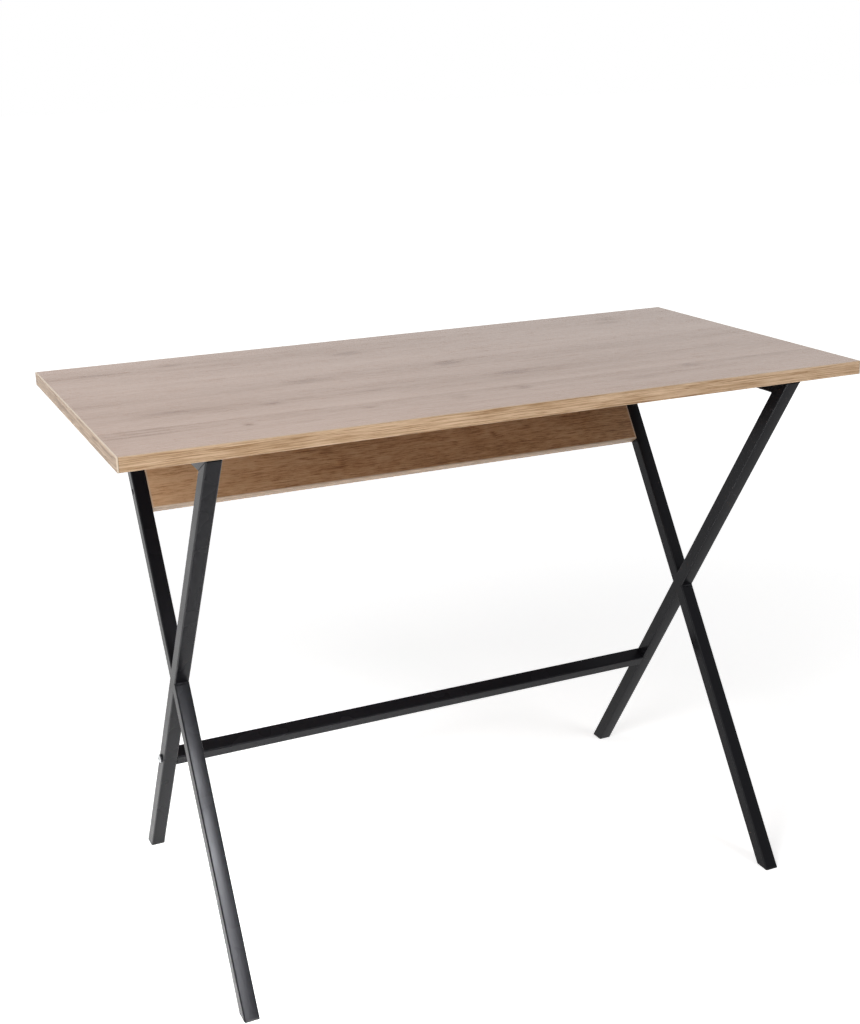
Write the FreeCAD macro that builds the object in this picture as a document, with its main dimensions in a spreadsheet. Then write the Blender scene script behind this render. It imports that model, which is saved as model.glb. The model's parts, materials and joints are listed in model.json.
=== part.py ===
import FreeCAD, Part
import Sketcher
import os

# A computer desk: a banded board on two crossed tube frames,
# tied together by a slanted back panel and a low stretcher.
# X runs across the front, Y from front to back and Z up, in millimetres.
# The origin is on the floor, under the middle of the desktop.

SIZES = {
    "desk_width": 1000,
    "desk_depth": 500,
    "desk_height": 740,
    "board_thickness": 18,
    "band_thickness": 2,
    "band_rounding": 1,
    "frame_inset": 97.5,
    "frame_setback": 0.5,
    "tube_size": 20,
    "tube_wall": 1.5,
    "tube_rounding": 2,
    "foot_thickness": 2,
    "plug_depth": 18,
    "plug_clearance": 0.15,
    "stretcher_height": 201,
    "insert_length": 25,
    "insert_clearance": 0.1,
    "panel_height": 190,
    "panel_thickness": 18,
    "panel_gap": 0.8,
    "bolt_diameter": 6,
    "bolt_bite": 18,
    "bolt_head_diameter": 12,
    "bolt_head_height": 4,
    "bolt_head_rounding": 2,
    "bolt_socket_width": 4,
    "bolt_socket_depth": 2.5,
    "panel_screw_margin": 30,
    "panel_screw_diameter": 4,
    "panel_screw_bite": 28,
    "panel_screw_head_diameter": 7,
    "panel_screw_head_height": 2.6,
    "rail_screw_margin": 33,
    "rail_screw_diameter": 4,
    "rail_screw_cover": 5,
    "rail_screw_head_diameter": 8,
    "rail_screw_head_height": 2.6,
    "screw_head_rounding": 1.2,
    "screw_point_length": 4,
    "cross_slot_span": 4.4,
    "cross_slot_width": 1.1,
    "cross_slot_depth": 1.5,
    "hole_clearance": 0.25,
    "access_clearance": 0.5,
    "thread_clearance": 0.05,
}

# Places worked out from the sizes. Along a leg, lengths are counted from the crossing.
LAYOUT = {
    "frame_height": "Sizes.desk_height - Sizes.board_thickness",
    "half_frame_depth": "Sizes.desk_depth / 2 - Sizes.frame_setback",
    "half_tube": "Sizes.tube_size / 2",
    "half_bore": "half_tube - Sizes.tube_wall",
    "frame_x": "Sizes.desk_width / 2 - Sizes.frame_inset - half_tube",
    "clear_span": "2 * (frame_x - half_tube)",
    "cross_height": "frame_height / 2",
    "half_diagonal": "sqrt(half_frame_depth ^ 2 + cross_height ^ 2)",
    "lean": "acos(half_tube / half_diagonal) - atan(cross_height / half_frame_depth)",
    "mitre_run": "Sizes.tube_size / tan(45 deg - lean / 2)",
    "mitre_outer": "(cross_height + half_tube * sin(lean)) / cos(lean)",
    "mitre_inner": "mitre_outer - mitre_run",
    "floor_near": "(half_tube * sin(lean) - cross_height) / cos(lean)",
    "floor_far": "-(half_tube * sin(lean) + cross_height) / cos(lean)",
    "foot_rise": "Sizes.foot_thickness / cos(lean)",
    "notch_near": "half_tube * tan(lean)",
    "notch_far": "half_tube / tan(lean)",
    "half_stem": "half_bore - Sizes.plug_clearance",
    "half_insert": "half_bore - Sizes.insert_clearance",
    "stretcher_along": "(Sizes.stretcher_height - cross_height) / cos(lean)",
    "stretcher_y": "-stretcher_along * sin(lean)",
    "half_panel": "Sizes.panel_thickness / 2",
    "panel_top": "(cross_height - Sizes.panel_gap - half_panel * sin(lean)) / cos(lean)",
    "panel_low": "panel_top - Sizes.panel_height",
    "panel_screw_low": "panel_low + Sizes.panel_screw_margin",
    "panel_screw_top": "panel_top - Sizes.panel_screw_margin",
    "rail_screw_y": "half_frame_depth - mitre_run - Sizes.rail_screw_margin",
    "rail_screw_bite": "Sizes.board_thickness - Sizes.rail_screw_cover",
    "band_edge": "min(Sizes.band_rounding; 0.8 * Sizes.band_thickness)",
}

SIDES = {"left": "-1", "right": "1"}
X_AXIS = FreeCAD.Vector(1, 0, 0)
Y_AXIS = FreeCAD.Vector(0, 1, 0)
Z_AXIS = FreeCAD.Vector(0, 0, 1)

doc = FreeCAD.newDocument("computer_desk")
subparts = []


def fill_sheet(name, cells, prefix):
    """Writes one named cell a row: plain numbers for the sizes, formulas for what follows from them."""
    sheet = doc.addObject("Spreadsheet::Sheet", name)
    for row, (alias, content) in enumerate(cells.items(), start=1):
        sheet.set(f"A{row}", alias)
        sheet.setAlias(f"B{row}", alias)
        sheet.set(f"B{row}", prefix + str(content))
    doc.recompute()
    return sheet


def new_body(label, x="0", y="0", z="0", axis=X_AXIS, turn="0 deg"):
    """A body with its place and its turn about one axis tied to the sizes."""
    body = doc.addObject("PartDesign::Body", label)
    place(body, x, y, z, axis, turn)
    subparts.append(body)
    return body


def place(piece, x, y, z, axis, turn):
    """Ties a piece's place and turn to the sizes."""
    piece.Placement = FreeCAD.Placement(FreeCAD.Vector(), FreeCAD.Rotation(axis, 1))
    piece.setExpression("Placement.Rotation.Angle", turn)
    for direction, where in zip("xyz", (x, y, z)):
        piece.setExpression(f"Placement.Base.{direction}", where)


def new_sketch(body, name, plane, offset="0"):
    """An empty sketch on one of the body's own planes, moved along its normal by offset."""
    sketch = body.newObject("Sketcher::SketchObject", f"{body.Name}_{name}")
    support = next(item for item in body.Origin.OriginFeatures if item.Role == plane)
    sketch.AttachmentSupport = (support, "")
    sketch.MapMode = "FlatFace"
    sketch.setExpression("AttachmentOffset.Base.z", offset)
    return sketch


def value(formula):
    """The number that a formula on the sizes gives now."""
    return float(layout.evalExpression(formula))


def hold_point(sketch, geometry, point, across, up):
    """Holds a point of the sketch at two formulas, measured from the sketch's origin."""
    for kind, formula in (("DistanceX", across), ("DistanceY", up)):
        rule = Sketcher.Constraint(kind, -1, 1, geometry, point, value(formula))
        sketch.setExpression(f"Constraints[{sketch.addConstraint(rule)}]", formula)


def draw_polygon(sketch, corners):
    """A closed run of straight lines through corners given as formulas."""
    first = sketch.GeometryCount
    count = len(corners)
    points = [FreeCAD.Vector(value(across), value(up), 0) for across, up in corners]
    for index in range(count):
        line = Part.LineSegment(points[index], points[(index + 1) % count])
        sketch.addGeometry(line, False)
    for index, (across, up) in enumerate(corners):
        after = first + (index + 1) % count
        sketch.addConstraint(Sketcher.Constraint("Coincident", first + index, 2, after, 1))
        hold_point(sketch, first + index, 1, across, up)


def draw_circle(sketch, across, up, diameter):
    """A circle whose centre and diameter are formulas."""
    centre = FreeCAD.Vector(value(across), value(up), 0)
    circle = sketch.addGeometry(Part.Circle(centre, Z_AXIS, value(diameter) / 2), False)
    hold_point(sketch, circle, 3, across, up)
    rule = Sketcher.Constraint("Diameter", circle, value(diameter))
    sketch.setExpression(f"Constraints[{sketch.addConstraint(rule)}]", diameter)


def rectangle(left, low, right, high):
    """Corners of an upright rectangle."""
    return [(left, low), (right, low), (right, high), (left, high)]


def square(half):
    """Corners of a square centred on the sketch's origin."""
    return rectangle(f"-{half}", f"-{half}", half, half)


def pad(body, name, sketch, length, symmetric=True):
    """Thickens an outline, to both sides of its plane or along its normal."""
    feature = body.newObject("PartDesign::Pad", f"{body.Name}_{name}")
    feature.Profile = sketch
    feature.SideType = "Symmetric" if symmetric else "One side"
    feature.setExpression("Length", length)
    doc.recompute()
    return feature


def cut_through(body, name, sketch, sides="Two sides", reverse=False):
    """Cuts an outline right through the body, to both sides of its plane or to one."""
    feature = body.newObject("PartDesign::Pocket", f"{body.Name}_{name}")
    feature.Profile = sketch
    feature.SideType = sides
    feature.Type = "ThroughAll"
    feature.Type2 = "ThroughAll"
    feature.Reversed = reverse
    doc.recompute()
    return feature


def cut_blind(body, name, sketch, depth, reverse=False):
    """Cuts an outline to a depth below its plane, or above it where reversed."""
    feature = body.newObject("PartDesign::Pocket", f"{body.Name}_{name}")
    feature.Profile = sketch
    feature.Reversed = reverse
    feature.setExpression("Length", depth)
    doc.recompute()
    return feature


def round_edges(body, feature, radius, wanted):
    """Rounds those straight edges of the last feature that the test picks."""
    names = [f"Edge{number}" for number, edge in enumerate(feature.Shape.Edges, start=1) if wanted(edge)]
    fillet = body.newObject("PartDesign::Fillet", f"{body.Name}_rounding")
    fillet.Base = (feature, names)
    fillet.setExpression("Radius", radius)
    doc.recompute()
    return fillet


def runs_along(edge, axis):
    """Whether an edge is a straight line along an axis."""
    return edge.Curve.TypeId == "Part::GeomLine" and abs(edge.Curve.Direction.dot(axis)) > 0.999


def tube(label, side, height, turn, outline):
    """A length of square tube drawn in its side view, hollow from end to end."""
    body = new_body(label, x=f"{SIDES[side]} * Layout.frame_x", z=height, turn=turn)
    sketch = new_sketch(body, "outline", "YZ_Plane")
    draw_polygon(sketch, outline)
    bar = pad(body, "bar", sketch, "Sizes.tube_size")
    round_edges(body, bar, "Sizes.tube_rounding", lambda edge: runs_along(edge, Z_AXIS))
    bore = new_sketch(body, "bore_outline", "XY_Plane")
    draw_polygon(bore, square("Layout.half_bore"))
    cut_through(body, "bore", bore)
    return body


def side_hole(body, name, along, diameter, sides="Two sides", reverse=False):
    """A round hole across a leg, at a distance along it from the crossing."""
    sketch = new_sketch(body, f"{name}_outline", "YZ_Plane")
    draw_circle(sketch, "0", along, diameter)
    cut_through(body, name, sketch, sides, reverse)


def long_leg(side):
    """The unbroken leg, from the desktop's front down to the back, drilled for the stretcher's bolt."""
    outline = [
        ("-Layout.half_tube", "Layout.floor_near + Layout.foot_rise"),
        ("Layout.half_tube", "Layout.floor_far + Layout.foot_rise"),
        ("Layout.half_tube", "Layout.mitre_inner"),
        ("-Layout.half_tube", "Layout.mitre_outer"),
    ]
    body = tube(f"{side}_long_leg", side, "Layout.cross_height", "Layout.lean", outline)
    bolt_hole = "Sizes.bolt_diameter + 2 * Sizes.hole_clearance"
    side_hole(body, "bolt_hole", "Layout.stretcher_along", bolt_hole)


def upper_half_leg(side):
    """The upper half of the crossing leg, with its screw holes for the back panel.

    The outer wall has a hole wide enough for the screw's head, which seats on the inner wall.
    """
    outline = [
        ("-Layout.half_tube", "Layout.notch_far"),
        ("Layout.half_tube", "Layout.notch_near"),
        ("Layout.half_tube", "Layout.mitre_outer"),
        ("-Layout.half_tube", "Layout.mitre_inner"),
    ]
    body = tube(f"{side}_upper_half_leg", side, "Layout.cross_height", "-Layout.lean", outline)
    access = "Sizes.panel_screw_head_diameter + 2 * Sizes.access_clearance"
    shank = "Sizes.panel_screw_diameter + 2 * Sizes.hole_clearance"
    faces_right = side == "right"
    for end in ("low", "top"):
        along = f"Layout.panel_screw_{end}"
        side_hole(body, f"{end}_access_hole", along, access, "One side", faces_right)
        side_hole(body, f"{end}_shank_hole", along, shank, "One side", not faces_right)


def lower_half_leg(side):
    """The lower half of the crossing leg, from the long leg's underside to the front foot."""
    outline = [
        ("-Layout.half_tube", "Layout.floor_far + Layout.foot_rise"),
        ("Layout.half_tube", "Layout.floor_near + Layout.foot_rise"),
        ("Layout.half_tube", "-Layout.notch_far"),
        ("-Layout.half_tube", "-Layout.notch_near"),
    ]
    tube(f"{side}_lower_half_leg", side, "Layout.cross_height", "-Layout.lean", outline)


def top_rail(side):
    """The level tube under the desktop, mitred to both legs and drilled for the desktop's screws."""
    top = "Layout.half_frame_depth"
    underside = "(Layout.half_frame_depth - Layout.mitre_run)"
    outline = [
        ("-Layout.half_tube", f"-{top}"),
        ("Layout.half_tube", f"-{underside}"),
        ("Layout.half_tube", underside),
        ("-Layout.half_tube", top),
    ]
    body = tube(f"{side}_top_rail", side, "Layout.frame_height - Layout.half_tube", "-90 deg", outline)
    sketch = new_sketch(body, "screw_hole_outlines", "XZ_Plane")
    for sign in SIDES.values():
        hole = "Sizes.rail_screw_diameter + 2 * Sizes.hole_clearance"
        draw_circle(sketch, "0", f"{sign} * Layout.rail_screw_y", hole)
    cut_through(body, "screw_holes", sketch)


def foot_plug(side, end):
    """A plastic plug pressed into a leg's cut end, whose flange carries the desk on the floor."""
    rear = end == "rear"
    near_face, far_face = ("-", "") if rear else ("", "-")
    body = new_body(
        f"{side}_{end}_foot_plug",
        x=f"{SIDES[side]} * Layout.frame_x",
        z="Layout.cross_height",
        turn="Layout.lean" if rear else "-Layout.lean",
    )
    flange = new_sketch(body, "flange_outline", "YZ_Plane")
    flange_corners = [
        (f"{near_face}Layout.half_tube", "Layout.floor_near"),
        (f"{far_face}Layout.half_tube", "Layout.floor_far"),
        (f"{far_face}Layout.half_tube", "Layout.floor_far + Layout.foot_rise"),
        (f"{near_face}Layout.half_tube", "Layout.floor_near + Layout.foot_rise"),
    ]
    draw_polygon(flange, flange_corners)
    slab = pad(body, "flange", flange, "Sizes.tube_size")
    round_edges(body, slab, "Sizes.tube_rounding", lambda edge: runs_along(edge, Z_AXIS))
    slant = "(Layout.half_tube - Layout.half_stem) * tan(Layout.lean)"
    stem_top = "Layout.floor_near + Layout.foot_rise + Sizes.plug_depth"
    stem = new_sketch(body, "stem_outline", "YZ_Plane")
    stem_corners = [
        (f"{near_face}Layout.half_stem", f"Layout.floor_near + Layout.foot_rise - {slant}"),
        (f"{far_face}Layout.half_stem", f"Layout.floor_far + Layout.foot_rise + {slant}"),
        (f"{far_face}Layout.half_stem", stem_top),
        (f"{near_face}Layout.half_stem", stem_top),
    ]
    draw_polygon(stem, stem_corners)
    pad(body, "stem", stem, "2 * Layout.half_stem")


def stretcher_tube():
    """The tube between the two long legs, turned with them so that its faces line up with theirs."""
    body = new_body(
        "stretcher_tube", y="Layout.stretcher_y", z="Sizes.stretcher_height", turn="Layout.lean"
    )
    sketch = new_sketch(body, "outline", "YZ_Plane")
    draw_polygon(sketch, square("Layout.half_tube"))
    bar = pad(body, "bar", sketch, "Layout.clear_span")
    round_edges(body, bar, "Sizes.tube_rounding", lambda edge: runs_along(edge, X_AXIS))
    bore = new_sketch(body, "bore_outline", "YZ_Plane")
    draw_polygon(bore, square("Layout.half_bore"))
    cut_through(body, "bore", bore)


def stretcher_insert(side):
    """The threaded block that fills one end of the stretcher."""
    body = new_body(
        f"stretcher_{side}_insert",
        x=f"{SIDES[side]} * (Layout.clear_span - Sizes.insert_length) / 2",
        y="Layout.stretcher_y",
        z="Sizes.stretcher_height",
        turn="Layout.lean",
    )
    sketch = new_sketch(body, "outline", "YZ_Plane")
    draw_polygon(sketch, square("Layout.half_insert"))
    draw_circle(sketch, "0", "0", "Sizes.bolt_diameter + 2 * Sizes.thread_clearance")
    pad(body, "block", sketch, "Sizes.insert_length")


def desktop_board():
    """The chipboard core of the desktop, with blind holes below for the rails' screws."""
    body = new_body("desktop_board", z="Layout.frame_height")
    half_width = "(Sizes.desk_width / 2 - Sizes.band_thickness)"
    half_depth = "(Sizes.desk_depth / 2 - Sizes.band_thickness)"
    sketch = new_sketch(body, "outline", "XY_Plane")
    draw_polygon(sketch, rectangle(f"-{half_width}", f"-{half_depth}", half_width, half_depth))
    pad(body, "board", sketch, "Sizes.board_thickness", symmetric=False)
    holes = new_sketch(body, "screw_hole_outlines", "XY_Plane")
    for across in SIDES.values():
        for back in SIDES.values():
            hole = "Sizes.rail_screw_diameter + 2 * Sizes.thread_clearance"
            draw_circle(holes, f"{across} * Layout.frame_x", f"{back} * Layout.rail_screw_y", hole)
    depth = "Layout.rail_screw_bite + Sizes.thread_clearance"
    cut_blind(body, "screw_holes", holes, depth, reverse=True)


def desktop_long_band(end, sign):
    """The band along the front or the rear edge, between the side bands."""
    shift = f"{sign} * (Sizes.desk_depth - Sizes.band_thickness) / 2"
    body = new_body(f"desktop_{end}_edge_band", y=shift, z="Layout.frame_height")
    half_band = "Sizes.band_thickness / 2"
    sketch = new_sketch(body, "outline", "YZ_Plane")
    draw_polygon(sketch, rectangle(f"-{half_band}", "0", half_band, "Sizes.board_thickness"))
    band = pad(body, "band", sketch, "Sizes.desk_width - 2 * Sizes.band_thickness")
    outward = float(sign)
    round_edges(
        body,
        band,
        "Layout.band_edge",
        lambda edge: runs_along(edge, X_AXIS) and edge.CenterOfMass.y * outward > 0,
    )


def desktop_side_band(side):
    """The band along a side edge, which covers the ends of the front and rear bands."""
    sign = SIDES[side]
    shift = f"{sign} * (Sizes.desk_width - Sizes.band_thickness) / 2"
    body = new_body(f"desktop_{side}_edge_band", x=shift, z="Layout.frame_height")
    half_band = "Sizes.band_thickness / 2"
    sketch = new_sketch(body, "outline", "XZ_Plane")
    draw_polygon(sketch, rectangle(f"-{half_band}", "0", half_band, "Sizes.board_thickness"))
    band = pad(body, "band", sketch, "Sizes.desk_depth")
    outward = float(sign)
    round_edges(
        body,
        band,
        "Layout.band_edge",
        lambda edge: runs_along(edge, X_AXIS) or edge.CenterOfMass.x * outward > 0,
    )


def panel_body(label, x="0"):
    """A body in the slanted frame of the crossing legs, where the back panel stands."""
    return new_body(label, x=x, z="Layout.cross_height", turn="-Layout.lean")


def back_panel_board():
    """The slanted board between the crossing legs, with blind holes in its ends for their screws."""
    body = panel_body("back_panel_board")
    sketch = new_sketch(body, "outline", "YZ_Plane")
    low = "Layout.panel_low + Sizes.band_thickness"
    top = "Layout.panel_top - Sizes.band_thickness"
    draw_polygon(sketch, rectangle("-Layout.half_panel", low, "Layout.half_panel", top))
    length = "(Layout.clear_span - 2 * Sizes.band_thickness)"
    pad(body, "board", sketch, length)
    for side, sign in SIDES.items():
        holes = new_sketch(body, f"{side}_hole_outlines", "YZ_Plane", f"{sign} * {length} / 2")
        for end in ("low", "top"):
            hole = "Sizes.panel_screw_diameter + 2 * Sizes.thread_clearance"
            draw_circle(holes, "0", f"Layout.panel_screw_{end}", hole)
        depth = "Sizes.panel_screw_bite - Sizes.band_thickness + Sizes.thread_clearance"
        cut_blind(body, f"{side}_holes", holes, depth, reverse=side == "left")


def back_panel_long_band(end, low, top):
    """The band along the panel's lower or upper edge, between its end bands."""
    body = panel_body(f"back_panel_{end}_edge_band")
    sketch = new_sketch(body, "outline", "YZ_Plane")
    draw_polygon(sketch, rectangle("-Layout.half_panel", low, "Layout.half_panel", top))
    band = pad(body, "band", sketch, "Layout.clear_span - 2 * Sizes.band_thickness")
    middle = value(f"({low} + {top}) / 2")
    outward = -1 if end == "lower" else 1
    round_edges(
        body,
        band,
        "Layout.band_edge",
        lambda edge: runs_along(edge, X_AXIS) and (edge.CenterOfMass.z - middle) * outward > 0,
    )


def back_panel_end_band(side):
    """The band on an end of the panel, against the crossing leg, with holes for its screws."""
    shift = f"{SIDES[side]} * (Layout.clear_span - Sizes.band_thickness) / 2"
    body = panel_body(f"back_panel_{side}_edge_band", shift)
    sketch = new_sketch(body, "outline", "YZ_Plane")
    outline = rectangle("-Layout.half_panel", "Layout.panel_low", "Layout.half_panel", "Layout.panel_top")
    draw_polygon(sketch, outline)
    for end in ("low", "top"):
        hole = "Sizes.panel_screw_diameter + 2 * Sizes.thread_clearance"
        draw_circle(sketch, "0", f"Layout.panel_screw_{end}", hole)
    pad(body, "band", sketch, "Sizes.band_thickness")


def fastener(label, size, length, point):
    """A round-headed fastener along Z, with its head's seat at the origin and its shank below.

    Its point tapers to half the shank's diameter.
    """
    body = doc.addObject("PartDesign::Body", label)
    shank = f"Sizes.{size}_diameter / 2"
    head = f"Sizes.{size}_head_diameter / 2"
    head_top = f"Sizes.{size}_head_height"
    profile = [
        ("0", f"-({length})"),
        (f"{shank} / 2", f"-({length})"),
        (shank, f"{point} - ({length})"),
        (shank, "0"),
        (head, "0"),
        (head, head_top),
        ("0", head_top),
    ]
    sketch = new_sketch(body, "half_section", "XZ_Plane")
    draw_polygon(sketch, profile)
    turned = body.newObject("PartDesign::Revolution", f"{label}_turned")
    turned.Profile = sketch
    turned.ReferenceAxis = (sketch, ["V_Axis"])
    turned.Angle = 360
    doc.recompute()
    return body, turned, head_top


def round_head(body, turned, head_top, radius):
    """Rounds the rim of a fastener's head."""
    rim_height = value(head_top)

    def is_rim(edge):
        return edge.Curve.TypeId == "Part::GeomCircle" and abs(edge.CenterOfMass.z - rim_height) < 1e-6

    round_edges(body, turned, radius, is_rim)


def stretcher_bolt():
    """The domed machine bolt with a hexagon socket that holds the stretcher."""
    length = "Sizes.tube_size + Sizes.bolt_bite"
    body, turned, head_top = fastener("stretcher_bolt", "bolt", length, "Sizes.bolt_diameter / 4")
    round_head(body, turned, head_top, "min(Sizes.bolt_head_rounding; 0.8 * Sizes.bolt_head_height)")
    socket = new_sketch(body, "socket_outline", "XY_Plane", head_top)
    flat = "Sizes.bolt_socket_width / 2"
    corner = f"{flat} / cos(30 deg)"
    corners = [(f"{corner} * cos({turn} deg)", f"{corner} * sin({turn} deg)") for turn in range(0, 360, 60)]
    draw_polygon(socket, corners)
    cut_blind(body, "socket", socket, "Sizes.bolt_socket_depth")
    return body


def cross_head_screw(label, size, length):
    """A round-headed wood screw with a cross slot."""
    body, turned, head_top = fastener(label, size, length, "Sizes.screw_point_length")
    round_head(body, turned, head_top, f"min(Sizes.screw_head_rounding; 0.8 * {head_top})")
    half_slot = "Sizes.cross_slot_width / 2"
    half_span = "Sizes.cross_slot_span / 2"
    arm = [(half_slot, half_slot), (half_slot, half_span), (f"-{half_slot}", half_span)]
    corners = []
    for _ in range(4):
        corners += arm
        arm = [(flip(up), across) for across, up in arm]
    slot = new_sketch(body, "slot_outline", "XY_Plane", head_top)
    draw_polygon(slot, corners)
    cut_blind(body, "slot", slot, "Sizes.cross_slot_depth")
    return body


def flip(formula):
    """The formula with its sign changed."""
    return formula[1:] if formula.startswith("-") else f"-{formula}"


def group(label, original, places):
    """Copies of one fastener, gathered as separate solids of one node."""
    copies = []
    for number, (x, y, z, axis, turn) in enumerate(places, start=1):
        copy = doc.addObject("App::Link", f"{original.Name}_{number}")
        copy.LinkedObject = original
        copy.LinkTransform = False
        place(copy, x, y, z, axis, turn)
        copies.append(copy)
    gathered = doc.addObject("Part::Compound", label)
    gathered.Links = copies
    subparts.append(gathered)


def stretcher_bolts():
    """A bolt through each long leg, its head on the leg's outer face."""
    places = []
    for sign in SIDES.values():
        seat = f"{sign} * (Layout.frame_x + Layout.half_tube)"
        places.append((seat, "Layout.stretcher_y", "Sizes.stretcher_height", Y_AXIS, f"{sign} * 90 deg"))
    group("stretcher_bolts", stretcher_bolt(), places)


def back_panel_screws():
    """Two screws at each end of the back panel, seated inside the crossing legs on their inner walls."""
    screw = cross_head_screw("back_panel_screw", "panel_screw", "Sizes.tube_wall + Sizes.panel_screw_bite")
    places = []
    for sign in SIDES.values():
        seat = f"{sign} * (Layout.clear_span / 2 + Sizes.tube_wall)"
        for end in ("low", "top"):
            along = f"Layout.panel_screw_{end}"
            y = f"{along} * sin(Layout.lean)"
            z = f"Layout.cross_height + {along} * cos(Layout.lean)"
            places.append((seat, y, z, Y_AXIS, f"{sign} * 90 deg"))
    group("back_panel_screws", screw, places)


def desktop_screws():
    """Two screws up through each top rail into the desktop."""
    screw = cross_head_screw("desktop_screw", "rail_screw", "Sizes.tube_size + Layout.rail_screw_bite")
    seat = "Layout.frame_height - Sizes.tube_size"
    places = []
    for across in SIDES.values():
        for back in SIDES.values():
            x = f"{across} * Layout.frame_x"
            places.append((x, f"{back} * Layout.rail_screw_y", seat, X_AXIS, "180 deg"))
    group("desktop_screws", screw, places)


def check_document():
    """Stops if anything failed to build, a cut took nothing away or a sub-part is empty or broken."""
    for item in doc.Objects:
        if "Invalid" in item.State or "Error" in item.State:
            raise RuntimeError(f"{item.Label} failed to build: {item.State}")
        if item.TypeId == "PartDesign::Pocket" and item.Shape.Volume >= item.BaseFeature.Shape.Volume:
            raise RuntimeError(f"{item.Label} cuts nothing")
    for piece in subparts:
        if piece.Shape.isNull() or not piece.Shape.isValid() or not piece.Shape.Solids:
            raise RuntimeError(f"{piece.Label} is empty or broken")


fill_sheet("Sizes", SIZES, "")
layout = fill_sheet("Layout", LAYOUT, "=")

desktop_board()
desktop_long_band("front", "-1")
desktop_long_band("rear", "1")
back_panel_board()
back_panel_long_band("lower", "Layout.panel_low", "Layout.panel_low + Sizes.band_thickness")
back_panel_long_band("upper", "Layout.panel_top - Sizes.band_thickness", "Layout.panel_top")
stretcher_tube()
for frame_side in SIDES:
    desktop_side_band(frame_side)
    back_panel_end_band(frame_side)
    long_leg(frame_side)
    upper_half_leg(frame_side)
    lower_half_leg(frame_side)
    top_rail(frame_side)
    stretcher_insert(frame_side)
    foot_plug(frame_side, "front")
    foot_plug(frame_side, "rear")
stretcher_bolts()
back_panel_screws()
desktop_screws()

doc.recompute()
check_document()
os.makedirs("parts", exist_ok=True)
for subpart in subparts:
    subpart.Shape.exportStep(f"parts/{subpart.Label}.step")
    print(subpart.Label, len(subpart.Shape.Solids), round(subpart.Shape.Volume, 1))
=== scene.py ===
"""A computer desk: an oak-decor top on two crossed black tube frames, with a slanted back panel."""
import json
import math

import bmesh
import bpy
from mathutils import Matrix, Vector


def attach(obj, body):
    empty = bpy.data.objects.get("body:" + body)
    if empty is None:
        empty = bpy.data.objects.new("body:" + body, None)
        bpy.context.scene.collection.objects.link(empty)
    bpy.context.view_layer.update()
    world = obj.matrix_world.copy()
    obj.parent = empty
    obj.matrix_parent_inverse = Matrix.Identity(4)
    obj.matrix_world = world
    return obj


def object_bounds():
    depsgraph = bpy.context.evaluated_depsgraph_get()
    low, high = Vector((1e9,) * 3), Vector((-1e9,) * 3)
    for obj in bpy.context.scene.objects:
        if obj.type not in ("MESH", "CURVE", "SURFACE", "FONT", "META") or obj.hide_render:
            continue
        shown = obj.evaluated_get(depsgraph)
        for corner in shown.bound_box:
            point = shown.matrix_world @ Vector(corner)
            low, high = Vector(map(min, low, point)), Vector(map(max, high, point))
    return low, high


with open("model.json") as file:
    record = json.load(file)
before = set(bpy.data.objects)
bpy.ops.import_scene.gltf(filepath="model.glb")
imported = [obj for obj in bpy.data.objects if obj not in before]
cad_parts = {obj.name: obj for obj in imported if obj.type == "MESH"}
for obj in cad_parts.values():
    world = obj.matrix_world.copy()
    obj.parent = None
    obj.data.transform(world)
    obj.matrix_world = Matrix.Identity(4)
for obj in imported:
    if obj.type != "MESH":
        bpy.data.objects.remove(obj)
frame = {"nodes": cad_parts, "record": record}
cad_low, cad_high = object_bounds()
desk = frame["nodes"]

# How the frames lean, from the sizes that the solids have, in metres.
TUBE = 0.020
HALF_TUBE = TUBE / 2
TUBE_ROUNDING = 0.002
CROSS_HEIGHT = 0.361
RAIL_TOP = 0.722
HALF_FRAME_DEPTH = 0.2495
FRAME_X = 0.3925
HALF_DIAGONAL = math.hypot(HALF_FRAME_DEPTH, CROSS_HEIGHT)
LEAN = math.acos(HALF_TUBE / HALF_DIAGONAL) - math.atan(CROSS_HEIGHT / HALF_FRAME_DEPTH)
MITRE_RUN = TUBE / math.tan(math.radians(45) - LEAN / 2)
SLANT = (0, math.sin(LEAN), math.cos(LEAN))
BAND_THICKNESS = 0.002
BAND_END = cad_high.x - BAND_THICKNESS

# Where the picture is taken from: place in metres, angles in radians, lengths on the picture in pixels.
CAMERA_PLACE = Vector((-0.80355, -1.78053, 1.15209))
CAMERA_YAW = 0.42640
CAMERA_PITCH = 0.28566
CAMERA_ROLL = -0.02150
FOCAL_LENGTH = 1471.67
PICTURE_WIDTH = 860
PICTURE_HEIGHT = 1024
SIGHT_LINE = (449.895, 480.962)
SENSOR = 36.0
FARTHEST_SEEN = 100

# Numbers of the sockets that share their names with others on the same node.
FIRST_COLOUR, SECOND_COLOUR = 6, 7
MIXED_COLOUR = 2
RANDOM_LEAST, RANDOM_MOST = 2, 3
RANDOM_NUMBER = 1


def add_node(tree, kind, sockets=(), **settings):
    """A node with its settings made and its inputs set to values or linked to other nodes' outputs."""
    made = tree.nodes.new(kind)
    for name, setting in settings.items():
        setattr(made, name, setting)
    for name, content in dict(sockets).items():
        if isinstance(content, bpy.types.NodeSocket):
            tree.links.new(content, made.inputs[name])
        else:
            made.inputs[name].default_value = content
    return made


def math_node(tree, operation, *values, clamp=False):
    """The result of one sum."""
    made = add_node(tree, "ShaderNodeMath", enumerate(values), operation=operation, use_clamp=clamp)
    return made.outputs[0]


def map_range(tree, value, from_min, from_max, to_min=0.0, to_max=1.0):
    """A value moved from one range to another, held at its ends."""
    made = add_node(tree, "ShaderNodeMapRange", {
        "Value": value, "From Min": from_min, "From Max": from_max, "To Min": to_min, "To Max": to_max,
    })
    return made.outputs["Result"]


def split_place(tree, place):
    """The X, Y and Z of a place or direction."""
    return add_node(tree, "ShaderNodeSeparateXYZ", {"Vector": place}).outputs


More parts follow.
